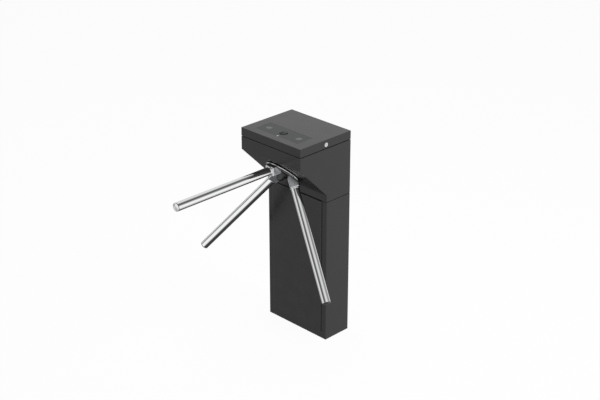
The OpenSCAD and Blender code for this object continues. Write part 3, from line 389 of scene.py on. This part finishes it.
DOWN, UP = (0, 0, -1), (0, 0, 1)
folded_sheet("column_shell", "pedestal", (DOWN, UP))
folded_sheet("head_shell", "pedestal", ())
folded_sheet("lid_shell", "lid", (DOWN,))


def front_panel():
    """The service panel: its front edges are rolled over and end just short of the column."""
    low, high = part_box("service_panel")
    sheet = bmesh.new()
    front = sheet.faces.new([sheet.verts.new((x, low[1], z))
                             for x, z in rectangle(low[0], low[2], high[0], high[2])])
    back = bmesh.ops.extrude_face_region(sheet, geom=[front], use_keep_orig=True)["geom"]
    bmesh.ops.translate(sheet, vec=(0, PANEL_DEPTH * MM, 0), verts=points_of(back))
    bmesh.ops.recalc_face_normals(sheet, faces=list(sheet.faces))
    rolled = [line for line in sheet.edges if all(v.co.y < low[1] + MM for v in line.verts)]
    bmesh.ops.bevel(sheet, geom=rolled, offset=PANEL_ROLL * MM, offset_type="OFFSET", segments=8,
                    profile=0.5, affect="EDGES", clamp_overlap=False, material=-1)
    finished("service_panel_rolled", sheet, "cabinet_paint", "pedestal", ("service_panel",),
             bevel=0.15)


front_panel()


# ---------------------------------------------------------------- lid window

def lid_window():
    """The smoked window with its eased rim, and in it two round lenses, an arrow and a pip."""
    finished("smoked_window", node_copy("display_window"), "window_acrylic", "lid",
             ("display_window",), bevel=0.25)
    rounds = bmesh.new()
    for x in (-ROUND_LENS_X, ROUND_LENS_X):
        turned(rounds, [(0, LENS_LOW), (14.9, LENS_LOW), (14.9, 999.7), (14.4, 1000),
                        (13.4, 1000), (13, 999.5), (11, 999.7), (0, 999.9)],
               shift(x, WINDOW_Y, 0), 64)
    finished("round_lenses", rounds, "light_lens", "lid", ("status_lights",))
    arrow = bmesh.new()
    plate(arrow, [(x, y + WINDOW_Y) for x, y in (
        (0, -14.8), (22.8, 0), (6, 0), (6, 14.8), (-6, 14.8), (-6, 0), (-22.8, 0))],
        Matrix(), LENS_LOW, 999.9, edge=0.3)
    finished("arrow_lens", arrow, "light_lens", "lid", surface=ARROW_GLASS)
    field = bmesh.new()
    turned(field, [(0, 999.3), (19.5, 999.3), (19.5, 999.72), (19.2, 999.78), (0, 999.78)],
           shift(0, WINDOW_Y - FIELD_FORWARD, 0), 64)
    finished("arrow_field", field, "window_acrylic", "lid", surface=FIELD_PRINT)
    pip = bmesh.new()
    turned(pip, [(0, LENS_LOW), (3.4, LENS_LOW), (3.4, 999.5), (2.8, 999.8), (0, 1000)],
           shift(0, WINDOW_Y - PIP_FORWARD, 0), 48)
    finished("pip_lens", pip, "light_lens", "lid", surface=PIP_GLASS)


lid_window()


# ---------------------------------------------------------------- tripod

def disc_and_hub():
    """The thin spun disc, and the cast hub: a low core, a nose and three flat-sided blocks."""
    disc = bmesh.new()
    turned(disc, [(0, 3), (85.5, 3), (87, 4), (87, 6.5), (85.5, 8), (0, 8)], SLOPE, 128)
    finished("spun_disc", disc, "tripod_chrome", "tripod", ("hub_disc",), bevel=0.4)
    casting = bmesh.new()
    turned(casting, [(0, 6), (58, 6), (58, 11), (44, 14), (0, 16)], SLOPE)
    for angle in ARM_ANGLES.values():
        plate(casting, BLOCK_OUTLINE, SLOPE @ turn(angle, "Z") @ turn(90, "X"), -BLOCK_T / 2,
              BLOCK_T / 2, edge=BLOCK_EDGE, segments=4)
    hub = finished("cast_hub", casting, "tripod_chrome", "tripod", ("hub_body",),
                   surface=SATIN_CHROME)
    solid = hub.modifiers.new("one casting", "REMESH")
    solid.mode = "VOXEL"
    solid.voxel_size = 1.1 * MM
    solid.use_smooth_shade = True
    fillets = hub.modifiers.new("casting fillets", "SMOOTH")
    fillets.factor = 0.5
    fillets.iterations = 10
    nose = bmesh.new()
    turned(nose, [(0, 12), (30, 12), (29, 17), (23, 22), (14, 40), (10, 44), (0, 45)], SLOPE)
    finished("hub_nose", nose, "tripod_chrome", "tripod", bevel=1.5, surface=DARK_CASTING)


def socket_lips():
    """The raised lip at each socket's mouth, and the screw in the block's side for the arm."""
    screws = bmesh.new()
    for arm in ARM_ANGLES:
        ring = bmesh.new()
        turned(ring, [(19.1, 116), (22, 116), (22, 120), (21.4, 121), (19.6, 121), (19.1, 120.4)],
               arm_place(arm))
        finished("lip_" + arm[-1], ring, "tripod_chrome", "tripod", bevel=0.5)
        turned(screws, [(0, 20), (3, 20), (3, 25), (2.7, 25.3), (1.6, 25.3), (1.6, 22.5),
                        (0, 22.5)], arm_place(arm) @ shift(0, 0, 105) @ turn(-90, "X"), 48)
    finished("socket_screws", screws, "zinc_plate", "tripod", ("arm_screws",))


def arm_tubes():
    """Each arm: a drawn tube, and the domed cap pressed into its end over a black seal ring."""
    for arm in ARM_ANGLES:
        tube = bmesh.new()
        turned(tube, [(BORE_R, ARM_START), (ARM_R, ARM_START), (ARM_R, ARM_TUBE_END),
                      (BORE_R, ARM_TUBE_END)], arm_place(arm))
        finished("tube_" + arm[-1], tube, "tripod_chrome", "tripod", (arm,), bevel=0.4)
    caps = bmesh.new()
    rings = bmesh.new()
    for arm in ARM_ANGLES:
        turned(caps, [(0, 636), (PLUG_R, 636), (PLUG_R, CAP_SEAT), (18.7, CAP_SEAT),
                      (ARM_R, 649.6), (18.4, 649.9), (17, 650.2), (15, 650.6), (12, 651.1),
                      (8, 651.6), (4, 651.9), (0, ARM_END)], arm_place(arm))
        turned(rings, [(PLUG_R, ARM_TUBE_END + 0.1), (RING_R, ARM_TUBE_END + 0.1),
                       (RING_R, CAP_SEAT), (PLUG_R, CAP_SEAT)], arm_place(arm))
    finished("tube_end_caps", caps, "tripod_chrome", "tripod", ("arm_caps",), bevel=0.1)
    finished("tube_end_rings", rings, "tripod_chrome", "tripod", surface=FINISHES["black_plastic"])


disc_and_hub()
socket_lips()
arm_tubes()


# ---------------------------------------------------------------- inside the head

# The control board: its frame, which starts from the middle of its lower edge and stands out of
# its face, its half width, height and thickness, the pitch of its terminals, and the choke's turns
BOARD_PLACE = shift(0, 60.6, 759.5) @ turn(90, "X")
BOARD_HALF_W = 100
BOARD_H = 150
BOARD_T = 1.6
TERMINAL_PITCH = 11
CHOKE_TURNS = 22


def control_board_parts():
    """The control board: laminate, terminals, two relays, processor, wound choke, capacitors."""
    zinc = FINISHES["zinc_plate"]
    laminate = bmesh.new()
    plate(laminate, rectangle(-BOARD_HALF_W, 0, BOARD_HALF_W, BOARD_H), BOARD_PLACE, 0, BOARD_T,
          edge=0.2)
    finished("board_laminate", laminate, "circuit_board", "pedestal", ("control_board",))
    terminals = bmesh.new()
    screws = bmesh.new()
    for way in range(16):
        x = -88 + TERMINAL_PITCH * way
        plate(terminals, rectangle(x + 0.2, 6, x + 10.8, 19.5), BOARD_PLACE, BOARD_T, 10, edge=0.5)
        plate(terminals, rectangle(x + 0.2, 12, x + 10.8, 19.5), BOARD_PLACE, 9, 13.6, edge=0.5)
        turned(screws, [(0, 10), (2.4, 10), (2.4, 13.9), (1.9, 14.2), (0.8, 14.2), (0.8, 13.4),
                        (0, 13.4)], BOARD_PLACE @ shift(x + 5.5, 15.7, 0), 16)
    finished("board_terminals", terminals, "circuit_board", "pedestal", surface=TERMINAL_GREEN)
    finished("board_terminal_screws", screws, "circuit_board", "pedestal", surface=zinc)
    relays = bmesh.new()
    for x in (-84, -40):
        plate(relays, rectangle(x, 108, x + 32, 138), BOARD_PLACE, BOARD_T, 17.6, edge=0.8)
    finished("board_relays", relays, "circuit_board", "pedestal", surface=RELAY_BLUE)
    chips = bmesh.new()
    legs = bmesh.new()
    plate(chips, rectangle(14, 50, 54, 90), BOARD_PLACE, 2, 5.2, edge=0.4)
    plate(chips, rectangle(20, 110, 34, 122), BOARD_PLACE, 2, 4.6, edge=0.3)
    plate(chips, rectangle(46, 110, 60, 122), BOARD_PLACE, 2, 4.6, edge=0.3)
    for step in range(15):
        at = 17 + 2.4 * step
        for x, y, w, h in ((at, 46.5, 1, 4), (at, 89.5, 1, 4),
                           (10.5, at + 36, 4, 1), (53.5, at + 36, 4, 1)):
            plate(legs, rectangle(x, y, x + w, y + h), BOARD_PLACE, 1.5, 2.6)
    finished("board_chips", chips, "circuit_board", "pedestal", surface=FINISHES["black_plastic"])
    finished("board_chip_legs", legs, "circuit_board", "pedestal", surface=zinc)
    choke = bmesh.new()
    heart = BOARD_PLACE @ shift(-54, 67.5, 0)
    for winding in range(CHOKE_TURNS):
        about = turn(360 * winding / CHOKE_TURNS, "Z") @ shift(11, 0, 9)
        turned(choke, [(5.4, -0.9), (6.6, -0.9), (7, 0), (6.6, 0.9), (5.4, 0.9), (5, 0)],
               heart @ about @ turn(90, "X"), 20)
    finished("board_choke", choke, "circuit_board", "pedestal", surface=COPPER_WIRE)
    cans = bmesh.new()
    for x, y, r in ((80, 60, 6), (80, 78, 6), (80, 98, 8), (80, 122, 5)):
        turned(cans, [(0, BOARD_T), (r, BOARD_T), (r, 2.6), (r - 0.4, 3.2), (r, 3.8), (r, 15),
                      (r - 0.5, 15.6), (r - 1.2, 15.6), (r - 1.3, 15.2), (0, 15.2)],
               BOARD_PLACE @ shift(x, y, 0), 40)
    finished("board_capacitors", cans, "circuit_board", "pedestal", surface=CAN_SLEEVE)


# The springs: place on the slope, start and stop behind it, radius of the winding, and turns
SPRINGS = ((-66, -46, 28.6, 62.5, 10, 8), (-72, 17, 47.3, 85, 9, 9), (72, 17, 47.3, 85, 9, 9))
WIRE_R = 0.9
STEPS_PER_TURN = 28


def coil_springs():
    """Wound springs round the posts of the lever and both pawls."""
    wire = bmesh.new()
    for u, v, start, stop, r, turns in SPRINGS:
        steps = STEPS_PER_TURN * turns
        rise = (stop - start - 2 * WIRE_R) * MM
        before = elements_of(wire)
        bmesh.ops.create_circle(wire, segments=8, radius=WIRE_R * MM, cap_ends=True,
                                matrix=shift(r, 0, 0) @ turn(90, "X"))
        ring = [item for kind in (wire.verts, wire.edges, wire.faces)
                for item in added(kind, before)]
        bmesh.ops.spin(wire, geom=ring, cent=(0, 0, 0), axis=(0, 0, 1),
                       dvec=(0, 0, rise / steps), angle=math.tau * turns, steps=steps,
                       use_merge=False, use_duplicate=False)
        bmesh.ops.transform(wire, matrix=SLOPE @ shift(u, v, -(stop - WIRE_R)),
                            verts=added(wire.verts, before))
    bmesh.ops.recalc_face_normals(wire, faces=list(wire.faces))
    finished("wound_springs", wire, "machined_steel", "pedestal", ("return_springs",))


# The solenoids, on the slope's own axes: inner and outer end, lower and upper side, back and
# front, and the sheet of the yoke. The coil's middle is a little nearer to the slope
YOKE_IN, YOKE_OUT = 100, 161
YOKE_LOW, YOKE_HIGH = 34.7, 64.7
YOKE_BACK, YOKE_FRONT = -112, -78
YOKE_SHEET = 2.5
COIL_U, COIL_V, COIL_DEPTH = 130.5, 49.7, -94.5


def solenoid_parts():
    """Each solenoid: an open yoke of folded steel round a taped coil."""
    for name, side in (("entry", 1), ("exit", -1)):
        yoke = bmesh.new()
        coil = bmesh.new()
        for low, high, front in ((YOKE_IN, YOKE_IN + YOKE_SHEET, YOKE_FRONT),
                                 (YOKE_OUT - YOKE_SHEET, YOKE_OUT, YOKE_FRONT),
                                 (YOKE_IN, YOKE_OUT, YOKE_BACK + YOKE_SHEET)):
            left, right = sorted((low * side, high * side))
            plate(yoke, rectangle(left, YOKE_LOW, right, YOKE_HIGH), SLOPE, YOKE_BACK, front,
                  edge=0.3)
        finished(name + "_yoke", yoke, "solenoid_yoke", "pedestal", (name + "_solenoid",))
        turned(coil, [(5.5, -28), (14, -28), (14, -26), (13.2, -25.5), (13.4, 0), (13.2, 25.5),
                      (14, 26), (14, 28), (5.5, 28)],
               SLOPE @ shift(COIL_U * side, COIL_V, COIL_DEPTH) @ turn(90, "Y"), 64)
        finished(name + "_coil", coil, "solenoid_yoke", "pedestal", surface=COIL_TAPE, bevel=0.3)


# Cut and cast parts, most of them inside, which keep the CAD's form
EASED_NODES = (
    "base_plate", "neck_plate", "mechanism_plate", "bearing_housing", "rear_plate",
    "spacer_pillars", "pivot_posts", "rotation_sensor", "lock_keeper", "hinge_lower_leaf",
    "hinge_upper_leaf", "display_carrier", "lock_barrel", "lock_nut", "lock_cam", "index_cam",
    "locking_wheel", "encoder_disc", "shaft_nut", "detent_lever", "detent_roller",
    "entry_pawl", "exit_pawl", "plate_fasteners", "mechanism_bolts", "battery",
    "power_supply", "equipment_plate", "panel_fasteners", "neck_fasteners")


def eased_parts():
    """The cut and cast parts with their sharp edges broken."""
    for name in EASED_NODES:
        finished(name + "_eased", node_copy(name), slot_of[name], body_of[name], (name,),
                 bevel=0.3, bevel_segments=2)


control_board_parts()
coil_springs()
solenoid_parts()
eased_parts()


# ---------------------------------------------------------------- studio

# Half the floor's width, in metres, and how much of what the camera sees of it is plain white
FLOOR_HALF = 30
FLOOR_WHITE = 0.95


def studio_floor():
    """A wide pale floor: white to the camera, with a trace of the object's soft shadow in it."""
    plane = bmesh.new()
    bmesh.ops.create_grid(plane, x_segments=1, y_segments=1, size=FLOOR_HALF)
    mesh = bpy.data.meshes.new("studio_floor")
    plane.to_mesh(mesh)
    plane.free()
    floor = bpy.data.objects.new("studio_floor", mesh)
    bpy.context.scene.collection.objects.link(floor)
    # Mirrors look past the floor at the studio air, which holds their whole room
    floor.visible_glossy = False
    paper = bpy.data.materials.new("pale_studio_floor")
    paper.use_nodes = True
    tree = paper.node_tree
    tree.nodes.clear()
    rays = add(tree, "ShaderNodeLightPath")
    shaded = add(tree, "ShaderNodeBsdfDiffuse", {"Color": colour("#fafafa")})
    dim = add(tree, "ShaderNodeBsdfDiffuse", {"Color": colour("#8c8c8c")})
    white = add(tree, "ShaderNodeEmission", {"Color": (1, 1, 1, 1), "Strength": 1})
    seen = add(tree, "ShaderNodeMixShader", {"Fac": FLOOR_WHITE},
               {1: shaded.outputs[0], 2: white.outputs[0]})
    by_camera = add(tree, "ShaderNodeMixShader", links={
        "Fac": rays.outputs["Is Camera Ray"], 1: dim.outputs[0], 2: seen.outputs[0]})
    add(tree, "ShaderNodeOutputMaterial", links={"Surface": by_camera.outputs[0]})
    mesh.materials.append(paper)


# What mirrors see: dark flags in a white room. Azimuth and elevation of a flag's middle, how far
# from it the flag starts and stops to fade, and the level in its middle. The first two rows are
# the ceiling and the floor. The others draw the stripes on the arms and on the hub
FLAGS = (
    (0, 90, 10, 70, 0.6),
    (0, -90, 36, 60, 0.05),
    (60, 45, 6, 40, 0.1),
    (70, 14, 4, 30, 0.3),
    (-92, 34, 8, 45, 0.1),
    (-138, -34, 4, 22, 0.44),
    (-155, -12, 4, 22, 0.32),
    (150, -45, 15, 50, 0.13),
    (45, -45, 6, 30, 0.65),
    (150, 30, 10, 60, 0.76),
    (-165, 2, 10, 60, 0.82),
    (158, -6, 8, 20, 0.05),
    (-151, 8, 8, 15, 0.05),
)
# Strength of the even light that rough surfaces get from the air
SOFT_AIR = 0.35


def studio_air():
    """White to the camera, soft light to rough surfaces, and a room with dark flags to mirrors."""
    world = bpy.data.worlds.new("studio_air")
    bpy.context.scene.world = world
    world.use_nodes = True
    tree = world.node_tree
    tree.nodes.clear()
    way = add(tree, "ShaderNodeTexCoord")
    level = None
    for azimuth, height, start, stop, middle in FLAGS:
        flat = math.cos(math.radians(height))
        toward = (math.cos(math.radians(azimuth)) * flat, math.sin(math.radians(azimuth)) * flat,
                  math.sin(math.radians(height)))
        near = add(tree, "ShaderNodeVectorMath", {1: toward}, {0: way.outputs["Generated"]},
                   operation="DOT_PRODUCT")
        flag = add(tree, "ShaderNodeMapRange",
                   {"From Min": math.cos(math.radians(stop)),
                    "From Max": math.cos(math.radians(start)), "To Min": 1, "To Max": middle},
                   {"Value": near.outputs["Value"]})
        level = flag if level is None else add(
            tree, "ShaderNodeMath", links={0: level.outputs[0], 1: flag.outputs[0]},
            operation="MINIMUM")
    rays = add(tree, "ShaderNodeLightPath")
    soft = add(tree, "ShaderNodeBackground", {"Color": (1, 1, 1, 1), "Strength": SOFT_AIR})
    room = add(tree, "ShaderNodeBackground", {"Strength": 1}, {"Color": level.outputs[0]})
    white = add(tree, "ShaderNodeBackground", {"Color": (1, 1, 1, 1), "Strength": 1})
    mirrored = add(tree, "ShaderNodeMixShader", links={
        "Fac": rays.outputs["Is Glossy Ray"], 1: soft.outputs[0], 2: room.outputs[0]})
    through = add(tree, "ShaderNodeMath", links={
        0: rays.outputs["Is Camera Ray"], 1: rays.outputs["Is Transmission Ray"]},
        operation="MAXIMUM")
    seen = add(tree, "ShaderNodeMixShader", links={
        "Fac": through.outputs[0], 1: mirrored.outputs[0], 2: white.outputs[0]})
    add(tree, "ShaderNodeOutputWorld", links={"Surface": seen.outputs[0]})


def soft_lamp(name, place, aim, size, power):
    """A square softbox that mirrors don't see. Places and size are in metres, power in watts."""
    light = bpy.data.lights.new(name, "AREA")
    light.shape = "SQUARE"
    light.size = size
    light.energy = power
    lamp = bpy.data.objects.new(name, light)
    lamp.visible_glossy = False
    bpy.context.scene.collection.objects.link(lamp)
    lamp.location = place
    lamp.rotation_euler = (Vector(aim) - Vector(place)).to_track_quat("-Z", "Y").to_euler()


# The photograph's viewpoint, solved from the cabinet's edges: place in metres and direction
CAMERA_AT = (3.9131, -3.9633, 3.1997)
CAMERA_AHEAD = (-0.6425, 0.6414, -0.4193)


def photo_camera():
    """The photograph's camera, held level."""
    lens = bpy.data.cameras.new("photo_camera")
    lens.lens = 80.75
    lens.sensor_width = 36
    camera = bpy.data.objects.new("photo_camera", lens)
    bpy.context.scene.collection.objects.link(camera)
    ahead = Vector(CAMERA_AHEAD).normalized()
    right = ahead.cross(Vector((0, 0, 1))).normalized()
    up = right.cross(ahead)
    camera.matrix_world = Matrix.Translation(CAMERA_AT) @ Matrix(
        (right, up, -ahead)).transposed().to_4x4()
    bpy.context.scene.camera = camera


studio_floor()
studio_air()
soft_lamp("key_softbox", (2.6, 0.6, 3.4), (0, -0.1, 0.7), 1.6, 60)
soft_lamp("top_softbox", (-0.4, 0.3, 3.6), (0, 0, 1), 2.0, 40)
photo_camera()
bpy.context.scene.view_settings.view_transform = "Standard"
